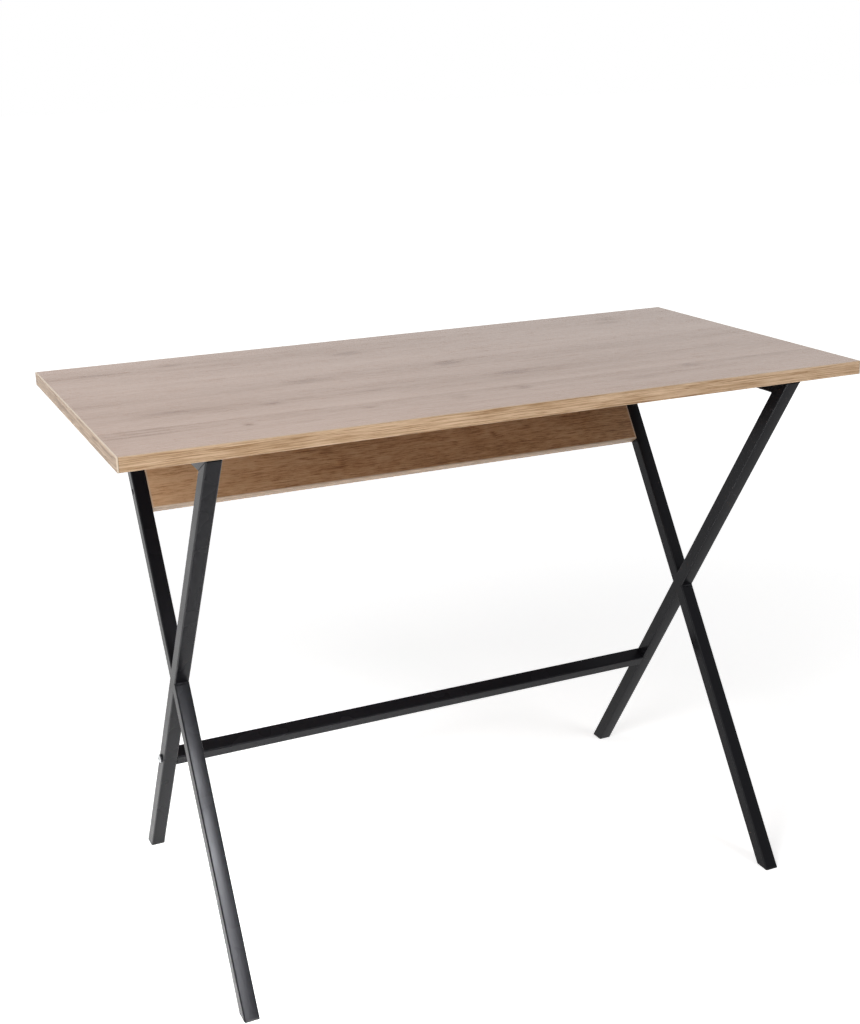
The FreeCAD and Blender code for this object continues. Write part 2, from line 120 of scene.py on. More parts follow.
def noise(tree, place, rate=1.0, detail=2.0):
    """Smooth noise about nought."""
    made = add_node(tree, "ShaderNodeTexNoise", {"Vector": place, "Scale": rate, "Detail": detail})
    return math_node(tree, "SUBTRACT", made.outputs["Fac"], 0.5)


def new_group(name, inputs, outputs):
    """An empty shader group with named inputs and outputs of plain values."""
    tree = bpy.data.node_groups.new(name, "ShaderNodeTree")
    for title, default in inputs.items():
        socket = tree.interface.new_socket(title, in_out="INPUT", socket_type="NodeSocketFloat")
        socket.default_value = default
    for title in outputs:
        tree.interface.new_socket(title, in_out="OUTPUT", socket_type="NodeSocketFloat")
    start = tree.nodes.new("NodeGroupInput")
    end = tree.nodes.new("NodeGroupOutput")
    return tree, start.outputs, end.inputs


# How the layers of the oak's grain make its tone: below nought a layer darkens.
MIDDLE_TONE = 0.58
GROWTH_TONE = 0.60
STREAK_TONE = 0.30
MOTTLE_TONE = 0.60
FIBRE_TONE = 0.55
DARK_STREAK_TONE = -0.16
PORE_TONE = -0.16
FINE_FIBRE_TONE = 0.45
FINE_PORE_TONE = -0.20
KNOT_TONE = -0.55

# How the layers bend and thin each other, and from where to where in the noise a pore or dark streak begins.
LAYER_STEP = 7.3
KNOT_BEND = 0.45
DRIFT_BEND = 1.2
PORES_BY_STREAK = -0.35
FINE_PORES_BY_STREAK = -0.5
PORE_START = (0.10, 0.20)
FINE_PORE_START = (0.10, 0.22)
DARK_STREAK_START = (-0.10, -0.26)
FIBRE_RELIEF = 0.6


def oak_grain_group():
    """Printed oak: tone, pores and relief, from places along and across the grain in metres."""
    tree, given, result = new_group(
        "oak_grain",
        {
            "Along": 0.0, "Across": 0.0, "Seed": 0.0, "Knot": 0.0, "Plank": 0.0,
            "Line Length": 0.77, "Line Width": 0.019, "Fleck Length": 0.11, "Fleck Width": 0.0048,
            "Fine Length": 0.035, "Fine Width": 0.0011,
            "Growth": 1.0, "Fleck": 1.0, "Mottle": 1.0, "Fine": 0.0,
        },
        ("Tone", "Pores", "Relief"),
    )

    def layer(number, across, size, long_share=1.0, wide_share=1.0, detail=2.0):
        length = math_node(tree, "MULTIPLY", given[size + " Length"], long_share)
        width = math_node(tree, "MULTIPLY", given[size + " Width"], wide_share)
        place = add_node(tree, "ShaderNodeCombineXYZ", {
            "X": math_node(tree, "DIVIDE", given["Along"], length),
            "Y": math_node(tree, "DIVIDE", across, width),
            "Z": math_node(tree, "ADD", given["Seed"], LAYER_STEP * number),
        })
        return noise(tree, place.outputs[0], detail=detail)

    def weigh(tone, value, weight, share):
        return math_node(tree, "MULTIPLY_ADD", math_node(tree, "MULTIPLY", value, weight), share, tone)

    drift = layer(1, given["Across"], "Line", long_share=0.76, wide_share=9.4)
    drift_bend = math_node(tree, "MULTIPLY", drift, DRIFT_BEND)
    bend = math_node(tree, "MULTIPLY_ADD", given["Knot"], KNOT_BEND, drift_bend)
    across = math_node(tree, "MULTIPLY_ADD", bend, given["Line Width"], given["Across"])
    growth = layer(2, across, "Line", detail=3.0)
    streak = layer(3, across, "Line", long_share=0.26, wide_share=0.47)
    fibre = layer(4, across, "Fleck")
    mottle = layer(5, given["Across"], "Line", long_share=0.29, wide_share=5.0, detail=3.0)
    pore_noise = layer(6, across, "Fleck", long_share=0.26, wide_share=0.19, detail=1.0)
    pore_noise = math_node(tree, "MULTIPLY_ADD", streak, PORES_BY_STREAK, pore_noise)
    pores = map_range(tree, pore_noise, *PORE_START)
    fine_fibre = layer(7, across, "Fine")
    fine_noise = layer(8, across, "Fine", long_share=0.40, wide_share=0.60, detail=1.0)
    fine_noise = math_node(tree, "MULTIPLY_ADD", streak, FINE_PORES_BY_STREAK, fine_noise)
    fine_pores = math_node(tree, "MULTIPLY", map_range(tree, fine_noise, *FINE_PORE_START), given["Fine"])
    dark_streak = map_range(tree, streak, *DARK_STREAK_START)

    tone = math_node(tree, "ADD", given["Plank"], MIDDLE_TONE)
    tone = weigh(tone, growth, GROWTH_TONE, given["Growth"])
    tone = weigh(tone, streak, STREAK_TONE, given["Growth"])
    tone = weigh(tone, mottle, MOTTLE_TONE, given["Mottle"])
    tone = weigh(tone, fibre, FIBRE_TONE, given["Fleck"])
    tone = weigh(tone, dark_streak, DARK_STREAK_TONE, given["Fleck"])
    tone = weigh(tone, pores, PORE_TONE, given["Fleck"])
    tone = weigh(tone, fine_fibre, FINE_FIBRE_TONE, given["Fine"])
    tone = math_node(tree, "MULTIPLY_ADD", fine_pores, FINE_PORE_TONE, tone)
    tone = math_node(tree, "MULTIPLY_ADD", given["Knot"], KNOT_TONE, tone, clamp=True)
    sunk = math_node(tree, "MULTIPLY", math_node(tree, "ADD", pores, fine_pores), -1.0)
    relief = math_node(tree, "MULTIPLY_ADD", fibre, FIBRE_RELIEF, sunk)
    tree.links.new(tone, result["Tone"])
    tree.links.new(pores, result["Pores"])
    tree.links.new(relief, result["Relief"])
    return tree


# Tones of the printed planks across each board: place in metres and tone, with a sharp step at a plank's edge.
TOP_PLANKS = [
    (-0.2500, 0.12), (-0.2150, 0.06), (-0.1860, -0.01), (-0.1600, -0.09), (-0.1475, -0.13),
    (-0.1455, 0.05), (-0.1290, 0.06), (-0.0860, -0.12), (-0.0290, 0.05), (-0.0118, 0.02),
    (-0.0102, -0.12), (0.0140, -0.07), (0.0430, 0.07), (0.0850, 0.12), (0.1280, -0.01),
    (0.1500, -0.05), (0.2000, -0.07), (0.2500, 0.12),
]
PANEL_PLANKS = [
    (0.5300, -0.05), (0.5560, 0.02), (0.5750, 0.06), (0.5960, -0.03), (0.6300, 0.02), (0.6320, -0.06),
    (0.6810, 0.04), (0.7270, -0.03),
]

# Knots of the printed boards: place along and across the grain, half length and half width in metres, strength.
# A strength below nought is a pale patch. The panel's last two are broad patches over its whole height: painted
# light at its left end and painted shade at its right end, under the desktop.
TOP_KNOTS = [
    (-0.083, 0.149, 0.030, 0.0130, 0.70),
    (0.013, 0.018, 0.022, 0.0150, 0.70),
    (-0.325, 0.197, 0.018, 0.0080, 0.65),
    (-0.435, 0.182, 0.022, 0.0060, 0.70),
    (-0.395, 0.179, 0.035, 0.0040, 0.50),
    (-0.193, 0.007, 0.040, 0.0120, 0.70),
    (-0.395, -0.078, 0.045, 0.0070, 0.60),
    (-0.272, -0.092, 0.016, 0.0080, 0.90),
    (-0.235, -0.083, 0.022, 0.0060, 0.50),
    (-0.140, -0.086, 0.035, 0.0060, 0.50),
    (-0.330, -0.181, 0.008, 0.0050, 1.10),
    (0.035, -0.169, 0.012, 0.0100, 0.65),
    (-0.057, -0.176, 0.014, 0.0120, 0.50),
    (-0.174, -0.172, 0.014, 0.0080, 0.60),
    (0.291, -0.157, 0.018, 0.0090, 0.65),
    (0.400, -0.152, 0.090, 0.0060, 0.50),
    (0.370, 0.195, 0.018, 0.0260, 0.50),
    (0.350, 0.168, 0.028, 0.0080, 0.50),
    (0.195, -0.190, 0.022, 0.0090, 0.50),
    (0.064, -0.077, 0.020, 0.0120, 0.40),
    (0.385, -0.063, 0.030, 0.0090, 0.35),
    (-0.440, -0.146, 0.075, 0.0034, 0.80),
    (-0.450, -0.159, 0.060, 0.0034, 0.85),
    (-0.445, -0.172, 0.060, 0.0034, 0.75),
]
PANEL_KNOTS_AND_PAINTED_LIGHT = [
    (-0.103, 0.572, 0.011, 0.0150, 0.55),
    (-0.123, 0.583, 0.016, 0.0090, 0.45),
    (-0.350, 0.586, 0.022, 0.0120, 0.30),
    (0.144, 0.575, 0.006, 0.0040, 0.90),
    (0.290, 0.640, 0.020, 0.0060, 0.50),
    (-0.240, 0.655, 0.030, 0.0080, 0.50),
    (0.060, 0.690, 0.030, 0.0070, 0.50),
    # Painted light at the panel's left end, then painted shade at its right end.
    (-0.370, 0.600, 0.170, 0.1300, -0.40),
    (0.385, 0.600, 0.075, 0.1300, 0.38),
]

# The frayed outline of a knot: its noise is drawn out along the grain, and pushes the outline along and across.
FRAY_STRETCH = 0.3
FRAY_RATE = 110.0
FRAY_DETAIL = 3.0
FRAY_ALONG = 1.3
CROOK_RATE = 120.0
CROOK_ACROSS = 2.0
KNOT_FALL = -1.2


def knot_mask(tree, along, across, knots):
    """One where a knot is darkest, falling away around each with an edge frayed along the grain."""
    drawn_out = math_node(tree, "MULTIPLY", along, FRAY_STRETCH)
    place = add_node(tree, "ShaderNodeCombineXYZ", {"X": drawn_out, "Y": across}).outputs[0]
    frayed = math_node(tree, "MULTIPLY", noise(tree, place, FRAY_RATE, FRAY_DETAIL), FRAY_ALONG)
    crooked = math_node(tree, "MULTIPLY", noise(tree, place, CROOK_RATE), CROOK_ACROSS)
    total = None
    for middle, level, length, width, strength in knots:
        right = math_node(tree, "MULTIPLY_ADD", math_node(tree, "SUBTRACT", along, middle), 1 / length, frayed)
        up = math_node(tree, "MULTIPLY_ADD", math_node(tree, "SUBTRACT", across, level), 1 / width, crooked)
        square = math_node(tree, "MULTIPLY_ADD", right, right, math_node(tree, "MULTIPLY", up, up))
        fall = math_node(tree, "EXPONENT", math_node(tree, "MULTIPLY", square, KNOT_FALL))
        mask = math_node(tree, "MULTIPLY", fall, strength)
        total = mask if total is None else math_node(tree, "ADD", total, mask)
    return total


def ramp_colour(tree, value, stops):
    """A colour that follows a value from the first stop to the last."""
    ramp = tree.nodes.new("ShaderNodeValToRGB")
    elements = ramp.color_ramp.elements
    while len(elements) < len(stops):
        elements.new(0.5)
    for element, (position, colour) in zip(elements, stops):
        element.position = position
        element.color = (*colour, 1)
    tree.links.new(value, ramp.inputs["Fac"])
    return ramp.outputs["Color"]


def plank_tone(tree, across, planks):
    """The tone of the plank that a place is on."""
    lowest, highest = planks[0][0], planks[-1][0]
    stops = [((place - lowest) / (highest - lowest), (0.5 + tone,) * 3) for place, tone in planks]
    share = map_range(tree, across, lowest, highest)
    grey = add_node(tree, "ShaderNodeRGBToBW", {"Color": ramp_colour(tree, share, stops)})
    return math_node(tree, "SUBTRACT", grey.outputs[0], 0.5)


def mix_colour(tree, share, first, second):
    """A colour between two, by a share."""
    sockets = {"Factor": share, FIRST_COLOUR: first, SECOND_COLOUR: second}
    return add_node(tree, "ShaderNodeMix", sockets, data_type="RGBA").outputs[MIXED_COLOUR]


def new_material(name, **sockets):
    """A material whose one shader has these plain values, and its tree and shader."""
    material = bpy.data.materials.new(name)
    material.use_nodes = True
    tree = material.node_tree
    shader = tree.nodes["Principled BSDF"]
    for title, content in sockets.items():
        shader.inputs[title.replace("_", " ")].default_value = content
    return material, tree, shader


def set_relief(tree, shader, height, distance, strength=1.0):
    """Fine relief on a surface."""
    bump = add_node(tree, "ShaderNodeBump", {"Height": height, "Distance": distance, "Strength": strength})
    tree.links.new(bump.outputs["Normal"], shader.inputs["Normal"])


# Colours of the oak decor from its darkest tone to its palest, of the bands' bodies and of the glue between bands;
# some hold painted light, as said beside them.
# The top's tones are pinker and greyer partly as a painted reflection of the white surroundings.
TOP_TONES_WITH_PAINTED_SHEEN = [
    (0.05, (0.205, 0.090, 0.045)),
    (0.35, (0.350, 0.210, 0.140)),
    (0.60, (0.445, 0.292, 0.218)),
    (0.95, (0.530, 0.369, 0.287)),
]
# The panel's tones are warmer and deeper partly as painted shade under the desktop.
PANEL_TONES_WITH_PAINTED_SHADE = [
    (0.05, (0.209, 0.094, 0.035)),
    (0.35, (0.380, 0.210, 0.098)),
    (0.60, (0.494, 0.293, 0.155)),
    (0.95, (0.593, 0.381, 0.219)),
]
EDGE_TONES = [
    (0.05, (0.199, 0.092, 0.028)),
    (0.35, (0.368, 0.227, 0.116)),
    (0.60, (0.491, 0.329, 0.202)),
    (0.95, (0.636, 0.452, 0.298)),
]
# The side bands' tones are the long bands' darkened by a share, as painted shade.
SIDE_PAINTED_SHADE = 0.80
SIDE_TONES_WITH_PAINTED_SHADE = [(place, tuple(SIDE_PAINTED_SHADE * part for part in colour)) for place, colour in EDGE_TONES]
# The bands' pale bodies on their milled edges are partly the bands' own core and partly a painted highlight; the first
# is the paler, for the desktop's side bands and the panel's long bands.
MILLED_BODY_AND_PAINTED_HIGHLIGHT = (0.68, 0.56, 0.44, 1)
LONG_MILLED_BODY_AND_PAINTED_HIGHLIGHT = (0.50, 0.37, 0.26, 1)
GLUE_LINE = (0.110, 0.070, 0.040, 1)

# The oak's finish: how far a face turns from the print where a milled edge begins, how far that edge may look down
# before it keeps the print as painted shade, how far before a band's end its glue shows, in metres, and how rough and
# deep the grain is.
MILLED_TURN = (0.96, 0.80)
LOWEST_EDGE_PAINTED_SHADE_TURN = (-0.5, -0.2)
GLUE_FADE = (0.0006, 0.0003)
PORE_ROUGHNESS = 0.14
GRAIN_DEPTH = 0.00003
GRAIN_STRENGTH = 0.6
OAK_GRAIN = oak_grain_group()
GRAIN_SIZES = ("Line Length", "Line Width", "Fleck Length", "Fleck Width", "Growth", "Fleck", "Mottle", "Fine")


def oak_material(
    name, tones, axes, seed, lines, flecks, weights, roughness, planks=None, knots=(), turn=0.0,
    print_face=None, body=MILLED_BODY_AND_PAINTED_HIGHLIGHT, glue_line=None,
):
    """Oak decor with its grain along the first of two axes, after a turn about X.

    Lines and flecks are the lengths and widths of the grain's lines and flecks, in metres.
    Weights are the shares of growth lines, flecks, mottle and fine fibres. Roughness is that between the pores.
    On an edge band only the face that looks along print_face is printed: its milled edges show its plain body, partly
    the band's own core and partly a painted highlight, but the lowest keeps the print as painted shade. A band that
    ends against another one shows the glue there, from the glue_line's place on.
    """
    material, tree, shader = new_material(name)
    coordinates = tree.nodes.new("ShaderNodeTexCoord").outputs
    place = coordinates["Object"]
    if turn:
        place = add_node(tree, "ShaderNodeMapping", {"Vector": place, "Rotation": (turn, 0, 0)}).outputs[0]
    parts = split_place(tree, place)
    along, across = parts[axes[0]], parts[axes[1]]
    grain = tree.nodes.new("ShaderNodeGroup")
    grain.node_tree = OAK_GRAIN
    grain.inputs["Seed"].default_value = seed
    for title, size in zip(GRAIN_SIZES, (*lines, *flecks, *weights)):
        grain.inputs[title].default_value = size
    tree.links.new(along, grain.inputs["Along"])
    tree.links.new(across, grain.inputs["Across"])
    if planks:
        tree.links.new(plank_tone(tree, across, planks), grain.inputs["Plank"])
    if knots:
        tree.links.new(knot_mask(tree, along, across, knots), grain.inputs["Knot"])
    colour = ramp_colour(tree, grain.outputs["Tone"], tones)
    if print_face:
        normal = coordinates["Normal"]
        facing = add_node(tree, "ShaderNodeVectorMath", {0: normal, 1: print_face}, operation="DOT_PRODUCT")
        milled = map_range(tree, math_node(tree, "ABSOLUTE", facing.outputs["Value"]), *MILLED_TURN)
        # Painted shade: the lowest milled edge keeps the darker print.
        above_painted_shade = map_range(tree, split_place(tree, normal)["Z"], *LOWEST_EDGE_PAINTED_SHADE_TURN)
        colour = mix_colour(tree, math_node(tree, "MULTIPLY", milled, above_painted_shade), colour, body)
    if glue_line:
        start, full = (glue_line - before for before in GLUE_FADE)
        glued = map_range(tree, math_node(tree, "ABSOLUTE", along), start, full)
        colour = mix_colour(tree, glued, colour, GLUE_LINE)
    tree.links.new(colour, shader.inputs["Base Color"])
    rough = math_node(tree, "MULTIPLY_ADD", grain.outputs["Pores"], PORE_ROUGHNESS, roughness)
    tree.links.new(rough, shader.inputs["Roughness"])
    set_relief(tree, shader, grain.outputs["Relief"], GRAIN_DEPTH, GRAIN_STRENGTH)
    return material


def coat_grain_group():
    """Powder coat: fine peel of the surface and faint cloudiness of its gloss."""
    tree, given, result = new_group("coat_grain", {"Grain Rate": 900.0, "Cloud Rate": 18.0}, ("Relief", "Cloud"))
    place = tree.nodes.new("ShaderNodeTexCoord").outputs["Object"]
    for rate, detail, title in (("Grain Rate", 1.0, "Relief"), ("Cloud Rate", 2.0, "Cloud")):
        made = add_node(tree, "ShaderNodeTexNoise", {"Vector": place, "Scale": given[rate], "Detail": detail})
        tree.links.new(made.outputs["Fac"], result[title])
    return tree


# How a coat lies: the span of its cloudiness, how far a face turns from the side where an edge or a bolt head's flank
# begins, the flank carrying a painted dark reflection, and the height of the crown on a tube's faces, in metres.
COAT_GRAIN = coat_grain_group()
CLOUD_SPAN = (0.3, 0.7)
SIDE_EDGE_TURN = (0.985, 0.90)
FRONT_EDGE_TURN = (0.12, 0.40)
EDGE_GLOSS_ROUGHNESS = 0.12
PAINTED_FLANK_TURN = (0.10, 0.45)
CROWN = 0.0004


def tube_crown(tree):
    """Height of the faint crown that rolling leaves across the faces of the frames' tubes."""
    place = tree.nodes.new("ShaderNodeTexCoord").outputs["Object"]
    sideways = math_node(tree, "ABSOLUTE", split_place(tree, place)["X"])
    share = map_range(tree, sideways, FRAME_X - HALF_TUBE, FRAME_X + HALF_TUBE, -1.0, 1.0)
    return math_node(tree, "MULTIPLY", math_node(tree, "MULTIPLY", share, share), -CROWN)


def coated_material(name, tones, rough, rate, relief, edge_shine=0.0, crowned=False, painted_dark_flank=None, **sockets):
    """A grained finish: its colour and gloss drift a little and its surface is finely pebbled.

    Rough is the range of its roughness, rate the fineness of its pebbles and relief their height in metres.
    With edge_shine a tube's rounded edges shine more than its flat faces, and if crowned these are faintly domed.
    The flank colour is painted on a bolt head's side as a painted dark reflection.
    """
    material, tree, shader = new_material(name, **sockets)
    grain = tree.nodes.new("ShaderNodeGroup")
    grain.node_tree = COAT_GRAIN
    grain.inputs["Grain Rate"].default_value = rate
    colour = ramp_colour(tree, grain.outputs["Cloud"], list(zip(CLOUD_SPAN, tones)))
    if edge_shine or painted_dark_flank:
        normal = tree.nodes.new("ShaderNodeTexCoord").outputs["Normal"]
        sideways = math_node(tree, "ABSOLUTE", split_place(tree, normal)["X"])
    if edge_shine:
        off_side = map_range(tree, sideways, *SIDE_EDGE_TURN, 0.0, edge_shine)
        off_front = map_range(tree, sideways, *FRONT_EDGE_TURN)
        tree.links.new(math_node(tree, "MULTIPLY", off_side, off_front), shader.inputs["Coat Weight"])
        shader.inputs["Coat Roughness"].default_value = EDGE_GLOSS_ROUGHNESS
    # Painted dark reflection on a bolt head's side.
    if painted_dark_flank:
        colour = mix_colour(tree, map_range(tree, sideways, *PAINTED_FLANK_TURN), painted_dark_flank, colour)
    tree.links.new(colour, shader.inputs["Base Color"])
    tree.links.new(map_range(tree, grain.outputs["Cloud"], *CLOUD_SPAN, *rough), shader.inputs["Roughness"])
    height = math_node(tree, "MULTIPLY", grain.outputs["Relief"], relief)
    if crowned:
        height = math_node(tree, "ADD", height, tube_crown(tree))
    set_relief(tree, shader, height, 1.0)
    return material


COAT_TONES = ((0.0064, 0.0063, 0.0075), (0.0072, 0.0070, 0.0084))
COAT_TINT = (0.92, 0.935, 1.0, 1)
# The seams' dark is partly the real joint and partly painted shade; across the legs' tips it is painted shadow.
SEAM_AND_PAINTED_SHADOW_TONES = ((0.0015,) * 3, (0.0025,) * 3)
PLASTIC_TONES = ((0.004,) * 3, (0.006,) * 3)
ZINC_TONES = ((0.55, 0.56, 0.58), (0.70, 0.70, 0.71))
# A painted dark reflection on the sides of the stretcher bolts' heads.
BOLT_FLANK_PAINTED_REFLECTION = (0.05, 0.05, 0.055, 1)
BAND = {"lines": (0.16, 0.0016), "flecks": (0.042, 0.0011), "weights": (2.5, 2.4, 0.6, 0.0), "roughness": 0.40}
SIDE_BAND = {
    "lines": (0.140, 0.0030), "flecks": (0.045, 0.0022), "weights": (3.2, 3.0, 0.5, 0.0), "roughness": 0.40,
}
FINISHES = {
    "desktop": oak_material(
        "oak_decor_top", TOP_TONES_WITH_PAINTED_SHEEN, "XY", seed=2.0, lines=(0.77, 0.0190), flecks=(0.11, 0.0048),
        weights=(0.52, 0.34, 0.95, 1.0), roughness=0.27, planks=TOP_PLANKS, knots=TOP_KNOTS),
    "panel": oak_material(
        "oak_decor_panel", PANEL_TONES_WITH_PAINTED_SHADE, "XZ", seed=37.0, lines=(0.17, 0.0045), flecks=(0.014, 0.0016),
        weights=(0.9, 2.1, 1.1, 1.4), roughness=0.34, planks=PANEL_PLANKS, knots=PANEL_KNOTS_AND_PAINTED_LIGHT, turn=LEAN),
    "long_edge": oak_material(
        "oak_edge_long", EDGE_TONES, "XZ", seed=17.0, print_face=(0, 1, 0), body=LONG_MILLED_BODY_AND_PAINTED_HIGHLIGHT,
        glue_line=BAND_END, **BAND),
    "side_edge": oak_material("oak_edge_side", SIDE_TONES_WITH_PAINTED_SHADE, "YZ", seed=9.0, print_face=(1, 0, 0), **SIDE_BAND),
    "panel_end": oak_material(
        "oak_edge_panel_end", SIDE_TONES_WITH_PAINTED_SHADE, "YZ", seed=23.0, print_face=(1, 0, 0), body=LONG_MILLED_BODY_AND_PAINTED_HIGHLIGHT,
        **SIDE_BAND),
    "panel_edge": oak_material(
        "oak_edge_panel", EDGE_TONES, "XY", seed=13.0, turn=LEAN, print_face=SLANT, **BAND),
    "coat": coated_material(
        "black_powder_coat", COAT_TONES, rough=(0.22, 0.29), rate=900.0, relief=0.00003, edge_shine=0.3,
        crowned=True, Specular_IOR_Level=0.080, Specular_Tint=COAT_TINT),
    "weld": coated_material(
        "coated_weld", COAT_TONES, rough=(0.16, 0.26), rate=1400.0, relief=0.00006,
        Specular_IOR_Level=0.12, Specular_Tint=COAT_TINT),
    "seam": coated_material(
        "joint_shadow", SEAM_AND_PAINTED_SHADOW_TONES, rough=(0.7, 0.8), rate=1400.0, relief=0.00006, Specular_IOR_Level=0.05),
    "zinc": coated_material(
        "bright_zinc", ZINC_TONES, rough=(0.22, 0.34), rate=1500.0, relief=0.00002, Metallic=1.0),
    "bolt": coated_material(
        "bright_zinc_bolt", ZINC_TONES, rough=(0.22, 0.34), rate=1500.0, relief=0.00002, painted_dark_flank=BOLT_FLANK_PAINTED_REFLECTION,
        Metallic=1.0),
    "plastic": coated_material(
        "black_moulded_plastic", PLASTIC_TONES, rough=(0.45, 0.55), rate=1200.0, relief=0.00003,
        Specular_IOR_Level=0.2),
}
NODE_FINISHES = {
    "back_panel_board": "panel",
    "stretcher_bolts": "bolt",
    "desktop_left_edge_band": "side_edge",
    "desktop_right_edge_band": "side_edge",
    "back_panel_lower_edge_band": "panel_edge",
    "back_panel_upper_edge_band": "panel_edge",
    "back_panel_left_edge_band": "panel_end",
    "back_panel_right_edge_band": "panel_end",
}
SLOT_FINISHES = {
    "wood_decor_board": "desktop",
    "wood_decor_edge": "long_edge",
    "black_powder_coat": "coat",
    "zinc_steel": "zinc",
    "black_plastic": "plastic",
}


def finish_solids():
    """Gives each solid of the frame its finish."""
    slots = {piece["node"]: piece["material_slot"] for piece in frame["record"]["subparts"]}
    for name, solid in desk.items():
        finish = FINISHES[NODE_FINISHES.get(name, SLOT_FINISHES[slots[name]])]
        solid.data.materials.clear()
        solid.data.materials.append(finish)


def new_tree(name, inputs):
    """An empty geometry tree with named inputs, and its two ends."""
    tree = bpy.data.node_groups.new(name, "GeometryNodeTree")
    tree.interface.new_socket("Geometry", in_out="INPUT", socket_type="NodeSocketGeometry")
    for title, kind in inputs.items():
        tree.interface.new_socket(title, in_out="INPUT", socket_type="NodeSocket" + kind)
    tree.interface.new_socket("Geometry", in_out="OUTPUT", socket_type="NodeSocketGeometry")
    return tree, tree.nodes.new("NodeGroupInput").outputs, tree.nodes.new("NodeGroupOutput").inputs


def close_tree(tree, geometry, given, result):
    """The last steps of a tree: one plain, smooth, finished mesh."""
    real = add_node(tree, "GeometryNodeRealizeInstances", {"Geometry": geometry})
    smooth = add_node(tree, "GeometryNodeSetShadeSmooth", {"Geometry": real.outputs[0]})
    done = add_node(tree, "GeometryNodeSetMaterial", {"Geometry": smooth.outputs[0], "Material": given["Finish"]})
    tree.links.new(done.outputs[0], result["Geometry"])
    return tree


# Shapes of a weld ripple and of a mitre's line.
RIPPLE_SEGMENTS = 14
RIPPLE_RINGS = 8
RIPPLE_FLATNESS = 0.75
BEAD_END_WIDTH = 0.55
BEAD_SWELL = 0.75
SEAM_SIDES = 8


def weld_bead_tree():
    """Overlapping ripples of weld along each path, widest at its middle."""
    tree, given, result = new_tree("weld_bead", {
        "Ripple Pitch": "Float", "Bead Radius": "Float", "Unevenness": "Float", "Seed": "Int", "Finish": "Material",
    })
    curve = add_node(tree, "GeometryNodeMeshToCurve", {"Mesh": given["Geometry"]}).outputs["Curve"]
    pitch = {"Curve": curve, "Length": given["Ripple Pitch"]}
    places = add_node(tree, "GeometryNodeResampleCurve", pitch, mode="LENGTH")
    tangent = tree.nodes.new("GeometryNodeInputTangent").outputs[0]
    turn = add_node(tree, "FunctionNodeAlignRotationToVector", {"Vector": tangent}, axis="Z")
    ripple = add_node(tree, "GeometryNodeMeshUVSphere", {
        "Segments": RIPPLE_SEGMENTS, "Rings": RIPPLE_RINGS, "Radius": given["Bead Radius"],
    })
    size = add_node(tree, "FunctionNodeRandomValue", {
        RANDOM_LEAST: math_node(tree, "SUBTRACT", 1.0, given["Unevenness"]),
        RANDOM_MOST: math_node(tree, "ADD", 1.0, given["Unevenness"]),
        "Seed": given["Seed"],
    })
    way = tree.nodes.new("GeometryNodeSplineParameter").outputs["Factor"]
    swell = math_node(tree, "SINE", math_node(tree, "MULTIPLY", way, math.pi))
    swell = math_node(tree, "MULTIPLY_ADD", swell, BEAD_SWELL, BEAD_END_WIDTH)
    width = math_node(tree, "MULTIPLY", size.outputs[RANDOM_NUMBER], swell)
    shape = add_node(tree, "ShaderNodeCombineXYZ", {
        "X": width, "Y": width, "Z": math_node(tree, "MULTIPLY", width, RIPPLE_FLATNESS),
    })
    beads = add_node(tree, "GeometryNodeInstanceOnPoints", {
        "Points": places.outputs[0], "Instance": ripple.outputs["Mesh"], "Rotation": turn.outputs[0],
        "Scale": shape.outputs[0],
    })
    return close_tree(tree, beads.outputs[0], given, result)


def seam_tree():
    """A thin round line along each path."""
    tree, given, result = new_tree("joint_seam", {"Seam Radius": "Float", "Finish": "Material"})
    curve = add_node(tree, "GeometryNodeMeshToCurve", {"Mesh": given["Geometry"]}).outputs["Curve"]
    ring = add_node(tree, "GeometryNodeCurvePrimitiveCircle", {
        "Resolution": SEAM_SIDES, "Radius": given["Seam Radius"],
    })
    line = add_node(tree, "GeometryNodeCurveToMesh", {
        "Curve": curve, "Profile Curve": ring.outputs["Curve"], "Fill Caps": True,
    })
    return close_tree(tree, line.outputs[0], given, result)


def ride_frame(piece):
    """Puts a piece of the steel frames in the desk's one body."""
    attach(piece, "root")


def grow(name, tree, paths, **settings):
    """A piece that a geometry tree makes from straight-edged paths."""
    points = [point for path in paths for point in path]
    edges = []
    first = 0
    for path in paths:
        edges += [(first + step, first + step + 1) for step in range(len(path) - 1)]
        first += len(path)
    lines = bpy.data.meshes.new(name + "_paths")
    lines.from_pydata(points, edges, [])
    piece = bpy.data.objects.new(name, lines)
    bpy.context.scene.collection.objects.link(piece)
    modifier = piece.modifiers.new("grow", "NODES")
    modifier.node_group = tree
    for socket in tree.interface.items_tree:
        title = socket.name.lower().replace(" ", "_")
        if title in settings:
            modifier[socket.identifier] = settings[title]
    graph = bpy.context.evaluated_depsgraph_get()
    mesh = bpy.data.meshes.new_from_object(piece.evaluated_get(graph))
    mesh.name = name
    piece.modifiers.remove(modifier)
    piece.data = mesh
    ride_frame(piece)


def on_long_leg(across, along):
    """Where a point of a long leg's own square lies in depth and height."""
    return (
        across * math.cos(LEAN) - along * math.sin(LEAN),
        CROSS_HEIGHT + across * math.sin(LEAN) + along * math.cos(LEAN),
    )


# Places of the welds and of the mitres' lines on the tubes, and of the painted shadow strips across the legs' tips
# under the board, in metres, and the share of a mitre that its line covers.
BEAD_REACH = 0.0078
BEAD_SINK = 0.0004
SEAM_SINK = 0.0001
SEAM_SHARE = (0.10, 0.91)
# The drops and inset of the painted shadow strips: dark lines across each leg's top, where the board shades it.
PAINTED_SHADOW_DROPS = (0.0005, 0.0012)
PAINTED_SHADOW_INSET = 0.0012


